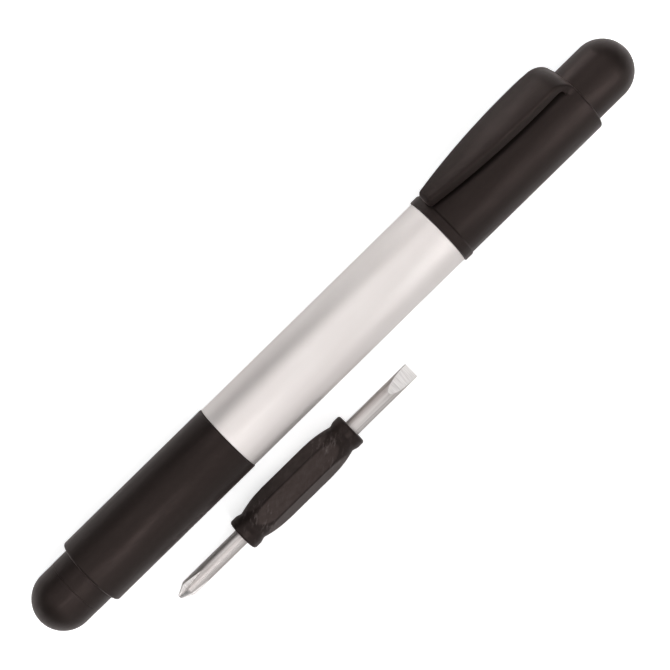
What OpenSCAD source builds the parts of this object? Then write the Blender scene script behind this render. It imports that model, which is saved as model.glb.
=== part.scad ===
// Pen-style pocket screwdriver with a reversible bit at each end, lying on a table.
// The pen lies along X, clip end at +X. The origin is at the middle of the barrel's axis.
// One bit is stored under the front cap. The other lies beside the pen.

/* [Barrel] */
// Outside diameter of the aluminium tube
barrel_d = 14.0; // [12:0.1:18]
// Wall thickness of the tube
barrel_wall = 0.8; // [0.5:0.05:1.2]
// Chamfer on the tube's cut ends
barrel_edge = 0.15; // [0.05:0.05:0.3]
// Empty length left between the two sockets inside the tube
core_gap = 3.7; // [1:0.1:20]

/* [Sockets] */
// Length of the neck that a cap slides on
neck_len = 8.0; // [6:0.5:12]
// Number of friction rings on the neck
neck_rings = 2; // [1:1:4]
// Width of one friction ring
ring_w = 1.2; // [0.6:0.1:1.5]
// How far the rings stand proud of the neck
ring_rise = 0.15; // [0.05:0.05:0.3]
// Chamfer at the mouth of the hexagonal hole
mouth_chamfer = 0.3; // [0.1:0.05:0.5]
// Thickness of the closed inner end
socket_floor = 1.5; // [1:0.1:3]
// Free length past the tip of a bit that is pushed home
tip_gap = 1.0; // [0.5:0.1:3]

/* [Caps] */
// How far the sleeves stand proud of the barrel
cap_proud = 0.15; // [0.1:0.05:0.6]
// How far the rear sleeve stands proud behind its mouth ring
rear_mouth_proud = 0.1; // [0:0.05:0.2]
// Length of the low ring round the rear sleeve's mouth
bead_len = 1.9; // [1.5:0.1:3]
// How far the ring stands proud of the rear sleeve
bead_rise = 0.2; // [0.1:0.01:0.4]
// Rounding of the ring's edges
bead_edge = 0.1; // [0.05:0.01:0.3]
// Wall thickness of the sleeves
sleeve_wall = 1.15; // [0.9:0.05:1.4]
// Rounding of the sleeves' closed-end edge
sleeve_edge = 0.45; // [0.1:0.05:0.7]
// Wall thickness of the liners
liner_wall = 0.95; // [0.7:0.05:1.2]
// Chamfer inside the liners' mouth
liner_chamfer = 0.3; // [0.1:0.05:0.6]
// Length of the front liner that shows past its sleeve
front_liner_out = 3.75; // [1:0.05:8]
// Straight length of the front dome
front_dome_straight = 3.1; // [1:0.05:8]
// Straight length of the rear dome
rear_dome_straight = 6.85; // [2:0.05:10]
// How much smaller the domes' radius is than the liners'
dome_inset = 0.03; // [0:0.01:0.2]
// Wall thickness at the domes' crown
dome_wall = 1.4; // [0.8:0.1:2]
// Length of the domes' spigot inside the liner
spigot_len = 6.0; // [3:0.5:10]
// Wall thickness of the spigot
spigot_wall = 1.2; // [0.8:0.1:1.8]
// Free length past the stored bit's tip, which sets the length of both sleeves
tip_room = 8.1; // [4:0.1:20]

/* [Pocket clip] */
// Direction of the clip, from straight up towards +Y
clip_angle = 47.5; // [20:0.5:75]
// Length of the clip from the sleeve's closed end to its tip
clip_len = 33.5; // [24:0.5:35]
// Greatest width
clip_w = 8.0; // [6:0.1:9]
// Distance of the widest place from the sleeve's closed end
clip_widest = 7.8; // [5:0.1:12]
// Radius of the curved long sides, seen from above
clip_side_r = 138; // [130:1:300]
// Height of the outer face above the sleeve at its highest place
clip_rise = 3.2; // [2.4:0.05:4]
// Distance of the highest place from the sleeve's closed end
clip_peak = 9.2; // [6:0.1:14]
// Radius of the bow along the clip
clip_bow_r = 375; // [300:5:800]
// Radius of the crown across the clip
clip_crown_r = 16; // [10:0.5:30]
// Gap under the clip near its root
clip_gap = 0.8; // [0.5:0.05:1.2]
// Gap between the clip's tip and the mouth ring
clip_tip_gap = 0.25; // [0.1:0.05:0.6]
// Thickness of the root along the pen
clip_web = 2.0; // [1.6:0.1:3]
// Rounding of the outer shoulder
clip_shoulder_r = 3.9; // [1:0.1:4.5]
// Rounding of the gap's closed end
clip_heel_r = 1.2; // [0.1:0.05:1.4]
// Rounding of the tip's corners, seen from above
clip_tip_r = 1.0; // [0.3:0.1:1.3]
// Width of the foot that snaps into the sleeve
foot_w = 3.0; // [2:0.1:3.4]
// Thickness of the foot's neck
foot_neck = 0.5; // [0.4:0.05:0.6]
// Sleeve wall left above and below the round foot
foot_skin = 0.15; // [0.1:0.01:0.25]

/* [Bits] */
// Width of the grip across its flats
grip_af = 6.85; // [6:0.05:7.2]
// Length of the grip over its collars
grip_len = 28.4; // [24:0.1:40]
// Diameter of the grip at its two necks
grip_neck_d = 6.1; // [5:0.1:6.6]
// Length of the turned taper from neck to full width
grip_taper_len = 6.6; // [4:0.1:9]
// Diameter of the end collars
collar_d = 6.7; // [6.4:0.05:6.95]
// Length of one collar
collar_len = 2.0; // [1:0.1:3]
// Rounding of the collars' edges
collar_edge = 0.5; // [0.1:0.05:0.9]
// Length of the neck between collar and taper
grip_neck_len = 0.8; // [0.2:0.1:2]
// Diameter of the steel rod
blade_d = 3.25; // [2.5:0.05:4.5]
// Length of the flat blade past the grip
flat_reach = 15.5; // [10:0.1:20]
// Length of the cross blade past the grip
cross_reach = 16.25; // [10:0.05:20]
// Ground length of the flat blade
flat_grind_len = 6.2; // [4:0.1:9]
// Thickness of the flat blade's tip
flat_tip_t = 0.6; // [0.3:0.05:1]
// Radius of the slightly hollow grind
flat_grind_r = 60; // [20:1:200]
// Turn of the flat blade from the grip's upper face, towards -Y
flat_roll = -2; // [-45:1:45]
// Half angle of the cross blade's point
cross_angle = 26.5; // [20:0.5:35]
// Diameter of the cross blade's blunt tip
cross_tip_d = 0.9; // [0.5:0.05:1.5]
// Length of the cross blade's flutes
flute_len = 6.8; // [4:0.1:9]
// Distance of the flutes' root from the axis at the tip
flute_root = 0.3; // [0.15:0.05:0.5]
// Turn of the flutes from the grip's upper face
cross_roll = 30; // [0:1:90]

/* [Place of the loose bit] */
// Clear distance between the pen and the loose bit
loose_gap = 4.15; // [2:0.05:30]
// Place of the loose bit's middle along the pen
loose_x = -23.9; // [-40:0.1:40]

/* [Clearances] */
// Radial clearance of pieces that are pressed together
press_gap = 0.025; // [0.01:0.005:0.05]
// Radial clearance between a neck's rings and a liner
slide_gap = 0.05; // [0.02:0.01:0.1]
// Gap between a cap's mouth and the barrel
mouth_gap = 0.08; // [0.05:0.01:0.3]
// Gap between a dome and what it sits on
seat_gap = 0.03; // [0.01:0.01:0.1]
// Clearance between a grip's flats and the hexagonal hole
hex_gap = 0.08; // [0.04:0.01:0.15]
// Radial clearance between a blade and its hole
blade_gap = 0.3; // [0.1:0.05:0.6]
// Clearance round the clip's foot
foot_gap = 0.06; // [0.03:0.01:0.08]
// Gap between the clip's root and the sleeve
saddle_gap = 0.04; // [0.02:0.01:0.2]
// How far that gap opens behind the foot, for the clip's flexing
saddle_relief = 0.12; // [0.1:0.01:0.3]

/* [Hidden] */
$fn = 128;
overcut = 1;
fine = 256;
bow_steps = 20;
shoulder_steps = 12;

aluminium = [0.80, 0.78, 0.77];
cap_black = [0.17, 0.15, 0.15];
socket_black = [0.12, 0.12, 0.12];
grip_black = [0.20, 0.18, 0.18];
steel = [0.72, 0.71, 0.71];

// Bits
blade_r = blade_d / 2;
grip_corner_r = grip_af / 2 / cos(30);
longest_reach = max(flat_reach, cross_reach);
grip_core_x = grip_len / 2 - collar_len + collar_edge;
taper_x = grip_len / 2 - collar_len - grip_neck_len - grip_taper_len;
taper_drop = grip_corner_r - grip_neck_d / 2;
taper_r = (grip_taper_len * grip_taper_len + taper_drop * taper_drop) / (2 * taper_drop);
flat_tip_x = grip_len / 2 + flat_reach;
cross_tip_x = -(grip_len / 2 + cross_reach);
cone_len = (blade_r - cross_tip_d / 2) / tan(cross_angle);
flute_tilt = atan((blade_r - flute_root) / flute_len);
grind_depth = blade_r - flat_tip_t / 2;
grind_chord = sqrt(flat_grind_len * flat_grind_len + grind_depth * grind_depth);
grind_far = sqrt(flat_grind_r * flat_grind_r - grind_chord * grind_chord / 4);
grind_x = flat_tip_x - flat_grind_len / 2 + grind_far * grind_depth / grind_chord;
grind_z = blade_r / 2 + flat_tip_t / 4 + grind_far * flat_grind_len / grind_chord;

// Barrel and sockets, measured along +X
recess_depth = grip_len / 2 + seat_gap;
socket_len = recess_depth + longest_reach + tip_gap + socket_floor;
barrel_x = core_gap / 2 + socket_len - neck_len;
neck_x = barrel_x + neck_len;
barrel_r = barrel_d / 2;
plug_r = barrel_r - barrel_wall - press_gap;

// Caps, measured along +X
cap_r = barrel_r + cap_proud;
sleeve_bore_r = cap_r - sleeve_wall;
liner_r = sleeve_bore_r - press_gap;
liner_bore_r = liner_r - liner_wall;
ring_r = liner_bore_r - slide_gap;
neck_r = ring_r - ring_rise;
spigot_r = liner_bore_r - press_gap;
cavity_r = spigot_r - spigot_wall;
dome_r = liner_r - dome_inset;
mouth_x = barrel_x + mouth_gap;
front_dome_room = front_liner_out + seat_gap + front_dome_straight + dome_r - dome_wall;
sleeve_x = neck_x + grip_len / 2 + longest_reach + tip_room - front_dome_room;
rear_mouth_r = barrel_r + rear_mouth_proud;
bead_r = rear_mouth_r + bead_rise;

// Clip, drawn above the pen before it is turned to its direction
clip_tip_x = sleeve_x - clip_len;
clip_wide_x = sleeve_x - clip_widest;
clip_peak_x = sleeve_x - clip_peak;
clip_web_x = sleeve_x - clip_web;
clip_top_z = cap_r + clip_rise;
clip_crown_z = clip_top_z - clip_crown_r;
clip_root_z = cap_r + clip_gap;
clip_tip_z = bead_r + clip_tip_gap;
foot_r = sleeve_wall / 2 - foot_skin;
foot_x = sleeve_x - clip_web / 2 - foot_skin;
foot_z = cap_r - sleeve_wall / 2;

// Table and loose bit
table_z = -max(cap_r, bead_r);
loose_y = -(cap_r + loose_gap + grip_corner_r);
loose_z = table_z + max(grip_af, collar_d) / 2;

// Height of a flat arc of radius r at the distance d from its highest place
function arc_drop(r, d) = r - sqrt(r * r - d * d);

// Turns a profile of [radius, place along the pen] about the X axis
module turned() {
    rotate([0, 90, 0])
        rotate_extrude()
            children();
}

// Rectangle of a turned profile
module band(r0, r1, x0, x1) {
    translate([r0, x0])
        square([r1 - r0, x1 - x0]);
}

// Rectangle of a turned profile whose outer edge at x1 is rounded
module rounded_band(r0, r1, x0, x1, edge) {
    band(r0, r1 - edge, x0, x1);
    band(r0, r1, x0, x1 - edge);
    translate([r1 - edge, x1 - edge])
        circle(edge);
}

// Hexagonal bar along X with flat faces above and below
module hex_bar(af, x0, x1) {
    translate([x0, 0, 0])
        rotate([0, 90, 0])
            rotate([0, 0, 30])
                cylinder(h = x1 - x0, r = af / 2 / cos(30), $fn = 6);
}

// Round bar along X
module round_bar(r, x0, x1) {
    translate([x0, 0, 0])
        rotate([0, 90, 0])
            cylinder(h = x1 - x0, r = r);
}

// Extrudes a profile of [x, z] to both sides of the XZ plane
module sideways(width) {
    rotate([90, 0, 0])
        linear_extrude(height = width, center = true)
            children();
}

// Turns what is drawn above the pen to the clip's direction
module at_clip() {
    rotate([-clip_angle, 0, 0])
        children();
}

module barrel_tube() {
    bore_r = barrel_r - barrel_wall;
    color(aluminium)
        turned()
            polygon([
                [bore_r, -barrel_x],
                [barrel_r - barrel_edge, -barrel_x],
                [barrel_r, -barrel_x + barrel_edge],
                [barrel_r, barrel_x - barrel_edge],
                [barrel_r - barrel_edge, barrel_x],
                [bore_r, barrel_x]
            ]);
}

// Insert with a hexagonal hole for the grip, a round hole for the blade and a ringed neck
module socket() {
    hex_af = grip_af + 2 * hex_gap;
    hex_corner_r = hex_af / 2 / cos(30);
    recess_x = neck_x - recess_depth;
    ring_pitch = neck_len / (neck_rings + 1);
    difference() {
        turned() {
            band(0, plug_r, neck_x - socket_len, barrel_x);
            band(0, neck_r, neck_x - socket_len, neck_x);
            for (i = [1 : neck_rings])
                let (ring_x = barrel_x + i * ring_pitch)
                    band(0, ring_r, ring_x - ring_w / 2, ring_x + ring_w / 2);
        }
        hex_bar(hex_af, recess_x, neck_x + overcut);
        round_bar(blade_r + blade_gap, recess_x - longest_reach - tip_gap, neck_x);
        translate([neck_x - mouth_chamfer, 0, 0])
            rotate([0, 90, 0])
                cylinder(
                    h = mouth_chamfer + overcut,
                    r1 = hex_corner_r - mouth_chamfer,
                    r2 = hex_corner_r + overcut
                );
    }
}

module front_socket() {
    color(socket_black)
        mirror([1, 0, 0])
            socket();
}

module rear_socket() {
    color(socket_black)
        socket();
}

module front_cap_sleeve() {
    color(cap_black)
        mirror([1, 0, 0])
            turned()
                difference() {
                    rounded_band(0, cap_r, mouth_x, sleeve_x, sleeve_edge);
                    band(0, sleeve_bore_r, mouth_x - overcut, sleeve_x + overcut);
                }
}

// Low ring round the rear sleeve's mouth, with both edges rounded
module mouth_ring_profile() {
    rounded_band(0, bead_r, mouth_x + bead_edge, mouth_x + bead_len, bead_edge);
    band(0, bead_r - bead_edge, mouth_x, mouth_x + 2 * bead_edge);
    translate([bead_r - bead_edge, mouth_x + bead_edge])
        circle(bead_edge);
}

// Tapered sleeve profile with a ring at its mouth
module rear_sleeve_profile() {
    difference() {
        union() {
            polygon([
                [0, mouth_x],
                [rear_mouth_r, mouth_x],
                [cap_r, sleeve_x - sleeve_edge],
                [0, sleeve_x - sleeve_edge]
            ]);
            rounded_band(0, cap_r, sleeve_x - 2 * sleeve_edge, sleeve_x, sleeve_edge);
            mouth_ring_profile();
        }
        band(0, sleeve_bore_r, mouth_x - overcut, sleeve_x + overcut);
    }
}

// Round foot of the clip with its neck, grown by a clearance
module clip_foot(gap, top_z) {
    translate([foot_x, 0, foot_z])
        rotate([90, 0, 0])
            cylinder(h = foot_w + 2 * gap, r = foot_r + gap, center = true);
    translate([foot_x - foot_neck / 2 - gap, -foot_w / 2 - gap, foot_z])
        cube([foot_neck + 2 * gap, foot_w + 2 * gap, top_z - foot_z]);
}

module rear_cap_sleeve() {
    color(cap_black)
        difference() {
            turned()
                rear_sleeve_profile();
            at_clip()
                clip_foot(foot_gap, cap_r + overcut);
        }
}

// Inner tube of a cap with a chamfered mouth
module liner(end_x) {
    turned()
        polygon([
            [liner_bore_r + liner_chamfer, mouth_x],
            [liner_r, mouth_x],
            [liner_r, end_x],
            [liner_bore_r, end_x],
            [liner_bore_r, mouth_x + liner_chamfer]
        ]);
}

module front_cap_liner() {
    color(cap_black)
        mirror([1, 0, 0])
            liner(sleeve_x + front_liner_out);
}

module rear_cap_liner() {
    color(cap_black)
        liner(sleeve_x);
}

// Round end plug with a hollow spigot, seated at seat_x
module dome(seat_x, straight) {
    centre_x = seat_x + straight;
    cavity_end = centre_x + dome_r - dome_wall - cavity_r;
    turned()
        difference() {
            union() {
                band(0, spigot_r, seat_x - spigot_len, seat_x + overcut);
                band(0, dome_r, seat_x, centre_x);
                intersection() {
                    band(0, dome_r, centre_x, centre_x + dome_r);
                    translate([0, centre_x])
                        circle(dome_r);
                }
            }
            band(0, cavity_r, seat_x - spigot_len - overcut, cavity_end);
            translate([0, cavity_end])
                intersection() {
                    circle(cavity_r);
                    band(0, cavity_r, 0, cavity_r);
                }
        }
}

module front_cap_dome() {
    color(cap_black)
        mirror([1, 0, 0])
            dome(sleeve_x + front_liner_out + seat_gap, front_dome_straight);
}

module rear_cap_dome() {
    color(cap_black)
        dome(sleeve_x + seat_gap, rear_dome_straight);
}

// Outline of the clip seen from above: curved long sides and a blunt rounded tip
module clip_outline() {
    side_y = clip_w / 2 - clip_side_r;
    tip_x = clip_tip_x + clip_tip_r;
    tip_half = clip_w / 2 - arc_drop(clip_side_r, tip_x - clip_wide_x);
    intersection() {
        translate([clip_wide_x, side_y])
            circle(clip_side_r, $fn = fine);
        translate([clip_wide_x, -side_y])
            circle(clip_side_r, $fn = fine);
        union() {
            translate([tip_x, -clip_w])
                square([sleeve_x - tip_x, 2 * clip_w]);
            translate([clip_tip_x, clip_tip_r - tip_half])
                square([clip_len, 2 * (tip_half - clip_tip_r)]);
            for (side = [-1, 1])
                translate([tip_x, side * (tip_half - clip_tip_r)])
                    circle(clip_tip_r);
        }
    }
}

// Bowed and crowned outer form of the clip, with a round shoulder at its root
module clip_crown() {
    shoulder_x = sleeve_x - clip_shoulder_r;
    shoulder_top = clip_crown_r - arc_drop(clip_bow_r, shoulder_x - clip_peak_x);
    bow_start = clip_tip_x - overcut;
    bow = [
        for (i = [0 : bow_steps])
            let (x = bow_start + (shoulder_x - bow_start) * i / bow_steps)
                [clip_crown_r - arc_drop(clip_bow_r, x - clip_peak_x), x]
    ];
    shoulder = [
        for (i = [1 : shoulder_steps])
            let (turn = 90 * i / shoulder_steps)
                [
                    shoulder_top - clip_shoulder_r * (1 - cos(turn)),
                    shoulder_x + clip_shoulder_r * sin(turn)
                ]
    ];
    translate([0, 0, clip_crown_z])
        turned()
            polygon(concat([[0, bow_start]], bow, shoulder, [[0, sleeve_x]]));
}

// Space under the clip, open at the tip and round at its closed end
module clip_space() {
    heel_x = clip_web_x - clip_heel_r;
    heel_z = clip_root_z - clip_heel_r;
    sideways(2 * clip_w) {
        polygon([
            [clip_tip_x - overcut, 0],
            [heel_x, 0],
            [heel_x, clip_root_z],
            [clip_tip_x, clip_tip_z],
            [clip_tip_x - overcut, clip_tip_z]
        ]);
        translate([heel_x - overcut, 0])
            square([clip_heel_r + overcut, heel_z]);
        translate([heel_x, heel_z])
            circle(clip_heel_r);
    }
}

// Round saddle under the clip's root, relieved behind the foot
module clip_saddle() {
    saddle_r = cap_r + saddle_gap;
    turned()
        polygon([
            [0, clip_tip_x - overcut],
            [saddle_r, clip_tip_x - overcut],
            [saddle_r, foot_x],
            [saddle_r + saddle_relief, sleeve_x],
            [saddle_r + saddle_relief, sleeve_x + overcut],
            [0, sleeve_x + overcut]
        ]);
}

module pocket_clip() {
    color(cap_black)
        at_clip() {
            difference() {
                intersection() {
                    clip_crown();
                    linear_extrude(height = clip_top_z + overcut)
                        clip_outline();
                }
                clip_space();
                clip_saddle();
            }
            clip_foot(0, clip_root_z);
        }
}

// Hexagonal grip with turned tapers, necks and rounded collars
module grip() {
    difference() {
        union() {
            intersection() {
                hex_bar(grip_af, -grip_core_x, grip_core_x);
                turned()
                    grip_profile();
            }
            for (side = [0, 1])
                mirror([side, 0, 0])
                    turned()
                        collar_profile();
        }
        round_bar(blade_r + press_gap, -grip_len, grip_len);
    }
}

// Turned limit of the grip, with a core that reaches into the collars
module grip_profile() {
    band(0, grip_neck_d / 2, -grip_core_x, grip_core_x);
    band(0, grip_corner_r, -taper_x, taper_x);
    for (side = [0, 1])
        mirror([0, side])
            intersection() {
                band(0, grip_corner_r, taper_x, taper_x + grip_taper_len);
                translate([grip_corner_r - taper_r, taper_x])
                    circle(taper_r, $fn = fine);
            }
}

// End collar with both edges rounded
module collar_profile() {
    collar_r = collar_d / 2;
    collar_x = grip_len / 2 - collar_len;
    rounded_band(0, collar_r, collar_x + collar_edge, grip_len / 2, collar_edge);
    band(0, collar_r - collar_edge, collar_x, collar_x + 2 * collar_edge);
    translate([collar_r - collar_edge, collar_x + collar_edge])
        circle(collar_edge);
}

// Steel rod with a hollow-ground flat blade at +X and a fluted cross blade at -X
module blade() {
    difference() {
        turned()
            polygon([
                [0, cross_tip_x],
                [cross_tip_d / 2, cross_tip_x],
                [blade_r, cross_tip_x + cone_len],
                [blade_r, flat_tip_x],
                [0, flat_tip_x]
            ]);
        for (turn = [0, 180])
            rotate([flat_roll + turn, 0, 0])
                sideways(blade_d + overcut)
                    flat_grind();
        for (turn = [0 : 90 : 270])
            rotate([turn - cross_roll, 0, 0])
                flute();
    }
}

// Metal ground away from one side of the flat blade, along an arc from the rod's surface to the tip
module flat_grind() {
    translate([grind_x, grind_z])
        circle(flat_grind_r, $fn = fine);
}

// One V-shaped flute, which runs out along the rod
module flute() {
    translate([cross_tip_x, 0, flute_root])
        rotate([0, -flute_tilt, 0])
            translate([-overcut, 0, 0])
                rotate([45, 0, 0])
                    cube([flute_len + 2 * blade_d, blade_d, blade_d]);
}

module at_stored_bit() {
    translate([-neck_x, 0, 0])
        children();
}

module at_loose_bit() {
    translate([loose_x, loose_y, loose_z])
        children();
}

module stored_bit_grip() {
    color(grip_black)
        at_stored_bit()
            grip();
}

module stored_bit_blade() {
    color(steel)
        at_stored_bit()
            blade();
}

module loose_bit_grip() {
    color(grip_black)
        at_loose_bit()
            grip();
}

module loose_bit_blade() {
    color(steel)
        at_loose_bit()
            blade();
}

barrel_tube();
front_socket();
rear_socket();
front_cap_sleeve();
front_cap_liner();
front_cap_dome();
rear_cap_sleeve();
rear_cap_liner();
rear_cap_dome();
pocket_clip();
stored_bit_grip();
stored_bit_blade();
loose_bit_grip();
loose_bit_blade();
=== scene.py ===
"""Looks of a pen-style pocket screwdriver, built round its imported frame. Sizes are in millimetres."""

import math

import bmesh
import bpy
import numpy as np
from mathutils import Matrix, Vector


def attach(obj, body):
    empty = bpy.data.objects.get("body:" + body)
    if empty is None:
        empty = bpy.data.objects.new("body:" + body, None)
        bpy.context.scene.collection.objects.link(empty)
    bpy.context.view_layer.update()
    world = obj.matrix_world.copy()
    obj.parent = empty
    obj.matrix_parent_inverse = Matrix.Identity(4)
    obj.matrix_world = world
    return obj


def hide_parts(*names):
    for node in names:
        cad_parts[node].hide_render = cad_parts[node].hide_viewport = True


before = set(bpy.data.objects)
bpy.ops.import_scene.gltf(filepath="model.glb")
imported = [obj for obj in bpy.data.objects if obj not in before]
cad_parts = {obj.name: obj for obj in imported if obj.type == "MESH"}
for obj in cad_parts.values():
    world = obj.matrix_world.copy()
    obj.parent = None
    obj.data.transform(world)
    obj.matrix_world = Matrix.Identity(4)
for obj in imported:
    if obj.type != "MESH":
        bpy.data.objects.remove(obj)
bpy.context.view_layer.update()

MM = 0.001
SEGMENTS = 192
ARC_STEP = math.radians(12)
SHARP = math.radians(38)

# Barrel and sockets
BARREL_R = 7.0
BARREL_BORE_R = 6.2
BARREL_X = 26.83
NECK_X = 34.83
NECK_R = 4.825
RING_R = 4.975
RING_W = 1.2
RING_X = (29.497, 32.163)
PLUG_R = 6.175
SOCKET_END_X = 1.85
RECESS_X = 20.6
HEX_HOLE_AF = 7.01
BLADE_HOLE_R = 1.925
BLADE_HOLE_X = 3.35
MOUTH_CHAMFER = 0.3

# Caps
MOUTH_X = 26.91
SLEEVE_X = 61.955
CAP_R = 7.15
SLEEVE_BORE_R = 6.0
SLEEVE_EDGE = 0.45
REAR_MOUTH_R = 7.1
BEAD_R = 7.3
BEAD_LEN = 1.9
BEAD_EDGE = 0.1
LINER_R = 5.975
LINER_BORE_R = 5.025
FRONT_LINER_X = 65.705
FRONT_DOME_X = 65.735
REAR_DOME_X = 61.985
DOME_CENTRE_X = 68.835
DOME_R = 5.945
DOME_WALL = 1.4
SPIGOT_R = 5.0
SPIGOT_LEN = 6.0
CAVITY_R = 3.8
CROWN_STEPS = 24
CAVITY_STEPS = 12

# Pocket clip, drawn above the pen before it is turned
CLIP_ANGLE = 47.5
CLIP_TIP_X = 28.455
CLIP_WIDE_X = 54.155
CLIP_PEAK_X = 52.755
CLIP_W = 8.0
CLIP_SIDE_R = 138.0
CLIP_TIP_R = 1.0
CLIP_CROWN_R = 16.0
CLIP_CROWN_Z = -5.65
CLIP_BOW_R = 375.0
CLIP_SHOULDER_R = 3.9
CLIP_SHOULDER_FALL = 0.5
CLIP_FALL_X = 54.5
CLIP_WEB_X = 59.955
CLIP_HEEL_R = 1.2
CLIP_ROOT_Z = 7.95
CLIP_TIP_Z = 7.55
CLIP_TIP_SOFT = 0.9
CLIP_TIP_SOFT_BELOW = 0.35
CLIP_TIP_FALL = 0.8
CLIP_BACK_GAP = 0.14
CLIP_RIM = 0.55
CLIP_LOW_RIM = 0.3
CLIP_FLARE = 0.7
CLIP_FLARE_LEN = 1.1
CLIP_FLARE_RISE = 0.8
SADDLE_R = 7.19
SADDLE_RELIEF = 0.12
FOOT_X = 60.805
FOOT_Z = 6.575
FOOT_R = 0.425
FOOT_W = 3.0
FOOT_NECK = 0.5
FOOT_GAP = 0.06

# Bits, drawn along X round the middle of the grip
GRIP_AF = 6.85
GRIP_HALF = 14.2
GRIP_NECK_R = 3.05
GRIP_TAPER_X = 4.8
GRIP_TAPER_LEN = 6.6
GRIP_EDGE = 0.22
# Width of the painted shade along the grip's hexagon edges
GRIP_EDGE_SHADE_WIDTH = 0.42
GRIP_SPARE = 0.2
GRIP_TURNED_DEPTH = 0.2
GRIP_FADE_LEN = 1.2
GRIP_BLEND = 0.16
COLLAR_R = 3.35
COLLAR_LEN = 2.0
COLLAR_EDGE = 0.5
BLADE_R = 1.625
BLADE_BORE_R = 1.65
FLAT_TIP_X = 29.7
FLAT_TIP_HALF = 0.3
FLAT_GRIND_LEN = 6.2
FLAT_GRIND_R = 60.0
FLAT_ROLL = 2.0
CROSS_TIP_X = -30.45
CROSS_TIP_R = 0.45
CROSS_ANGLE = 26.5
CROSS_ROLL = 30.0
FLUTE_ROOT = 0.3
FLUTE_LEN = 6.8
FLUTE_LAST = 0.985
ROD_FIRST = 1.03
FLUTE_FULL = 0.995
FLAT_FULL = 0.9995
GROUND_DEPTH = 0.1
EDGE_BREAK = 0.035
STORED_BIT = (-34.83, 0.0, 0.0)
LOOSE_BIT = (-23.9, -15.2547, -3.875)

# Stage and lights. Reaches, distances and sizes of lights are in metres, the table's height is not.
# A strip has a lean from straight up, in degrees, and a power in watts.
TABLE_Z = -7.3
FLOOR_REACH = 6.0
PAPER = 0.86
FLOOR_LIFT = 0.62
FLOOR_LIFT_REACH = (0.1, 0.5)
MIRRORED_LIFT = 0.06
WORLD_LIGHT = 0.05
LIGHT_AWAY = 0.5
STRIP_SIZE = (0.13, 1.0)
STRIPS = (
    (-80, 0.20), (-62, 0.61), (-44, 0.50), (-26, 0.12),
    (-8, 0.70), (10, 0.25), (28, 0.80), (46, 0.54),
)


def arc_drop(radius, distance):
    """How far a circle falls below its top at this distance from it."""
    return radius - math.sqrt(radius * radius - distance * distance)


def rounded(corners):
    """A closed polyline of (x, r) through corners of (x, r, fillet), with each fillet as an arc."""
    points = []
    for i, (x, r, fillet) in enumerate(corners):
        here = Vector((x, r))
        if fillet == 0:
            points.append((x, r))
            continue
        back = (Vector(corners[i - 1][:2]) - here).normalized()
        ahead = (Vector(corners[(i + 1) % len(corners)][:2]) - here).normalized()
        half = back.angle(ahead) / 2
        centre = here + (back + ahead).normalized() * (fillet / math.sin(half))
        start = here + back * (fillet / math.tan(half)) - centre
        end = here + ahead * (fillet / math.tan(half)) - centre
        sweep = start.angle_signed(end)
        steps = max(2, math.ceil(abs(sweep) / ARC_STEP))
        for k in range(steps + 1):
            turn = -sweep * k / steps
            cos, sin = math.cos(turn), math.sin(turn)
            points.append((
                centre.x + start.x * cos - start.y * sin,
                centre.y + start.x * sin + start.y * cos,
            ))
    return points


def bridged(rings, closed):
    """Faces between neighbouring rings of vertex numbers. A ring of one vertex is a pole."""
    pairs = list(zip(rings, rings[1:]))
    if closed:
        pairs.append((rings[-1], rings[0]))
    faces = []
    for a, b in pairs:
        count = max(len(a), len(b))
        for i in range(count):
            j = (i + 1) % count
            face = [a[i % len(a)], a[j % len(a)], b[j % len(b)], b[i % len(b)]]
            faces.append(list(dict.fromkeys(face)))
    return faces


def solid(loops, closed=False):
    """Vertices and faces of a skin over loops of points. A loop of one point is a pole."""
    verts, rings = [], []
    for loop in loops:
        rings.append(list(range(len(verts), len(verts) + len(loop))))
        verts.extend(tuple(map(float, point)) for point in loop)
    return verts, bridged(rings, closed)


TURNS = np.linspace(0, 2 * math.pi, SEGMENTS, endpoint=False)


def polar_loop(x, radius):
    """Points round the X axis, counted from straight up, with one radius or one for each of TURNS."""
    if np.isscalar(radius) and radius < 1e-6:
        return [(x, 0.0, 0.0)]
    radii = np.broadcast_to(radius, TURNS.shape)
    return np.column_stack([np.full(SEGMENTS, x), radii * np.sin(TURNS), radii * np.cos(TURNS)])


def turned(profile, closed=True, mirror=False):
    """A solid of revolution from a profile of (x, r), at the other end of the pen if mirrored."""
    side = -1 if mirror else 1
    return solid([polar_loop(side * x, r) for x, r in profile], closed)


def rounded_hexagon(across_flats, edge):
    """Radius of a hexagon with rounded edges and a face straight up, for each of TURNS."""
    off = (TURNS + math.pi / 6) % (math.pi / 3) - math.pi / 6
    flat = across_flats / 2 / np.cos(off)
    to_corner = math.pi / 6 - np.abs(off)
    reach = (across_flats / 2 - edge) / math.cos(math.pi / 6)
    inside = np.maximum(edge * edge - (reach * np.sin(to_corner)) ** 2, 0)
    arc = reach * np.cos(to_corner) + np.sqrt(inside)
    on_arc = arc * np.sin(to_corner) <= edge * math.sin(math.pi / 6)
    return np.where(on_arc, arc, flat)


def soft_min(a, b, blend):
    """The smaller of two values, with the edge between them rounded off."""
    near = np.maximum(blend - np.abs(a - b), 0) / blend
    return np.minimum(a, b) - near * near * blend / 4


def moved(part, offset):
    """A solid moved by an offset."""
    verts, faces = part
    return [tuple(np.add(v, offset)) for v in verts], faces


def joined(*parts):
    """Several solids as one list of vertices and one of faces."""
    verts, faces = [], []
    for more_verts, more_faces in parts:
        first = len(verts)
        verts.extend(more_verts)
        faces.extend([first + i for i in face] for face in more_faces)
    return verts, faces


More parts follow.
